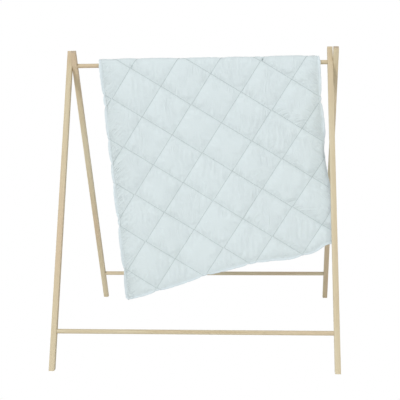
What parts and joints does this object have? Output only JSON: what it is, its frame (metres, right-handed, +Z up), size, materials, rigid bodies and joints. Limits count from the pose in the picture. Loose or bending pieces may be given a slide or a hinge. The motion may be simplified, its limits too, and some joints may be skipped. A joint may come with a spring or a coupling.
{
  "type": "quilt on a rack",
  "caption": "Padded cotton quilt with stitched squares, hung askew over the top rail of a folding wooden A-frame rack.",
  "frame": {"origin": "floor level, at the middle of the footprint of the four feet", "axes": "+Z up, +X along the top rail to the viewer's right, +Y from the long front drop of the quilt to the back"},
  "size_m": [1.1446, 1.0702, 1.2257],
  "materials": {
    "wood": "matte",
    "steel": "satin",
    "cotton": "matte",
    "wadding": "matte"
  },
  "bodies": {
    "front_frame": {"front_left_leg": "wood", "front_right_leg": "wood", "front_lower_rail": "wood", "front_rail_screw_left": "steel", "front_rail_screw_right": "steel"},
    "rear_frame": {"rear_left_leg": "wood", "rear_right_leg": "wood", "rear_lower_rail": "wood", "rear_rail_screw_left": "steel", "rear_rail_screw_right": "steel"},
    "rail": {"top_rail": "wood", "pivot_washer_left": "steel", "pivot_washer_right": "steel", "pivot_screw_left": "steel", "pivot_screw_right": "steel"},
    "quilt": {"quilt_backing": "cotton", "quilt_wadding": "wadding", "quilt_face": "cotton"}
  },
  "joints": [
    {"name": "fold", "type": "hinge", "parent": "front_frame", "child": "rear_frame", "pos_m": [0, 0, 1.161], "axis": [1, 0, 0], "range_deg": [-47, 0]},
    {"name": "rail_turn", "type": "hinge", "parent": "front_frame", "child": "rail", "pos_m": [0, 0, 1.161], "axis": [1, 0, 0], "range_deg": [-24, 0]},
    {"name": "quilt_slide", "type": "slide", "parent": "rail", "child": "quilt", "axis": [1, 0, 0], "range_m": [-0.085, 0]}
  ],
  "couplings": [
    {"joint": "rail_turn", "follows": "fold", "ratio": 0.5}
  ]
}
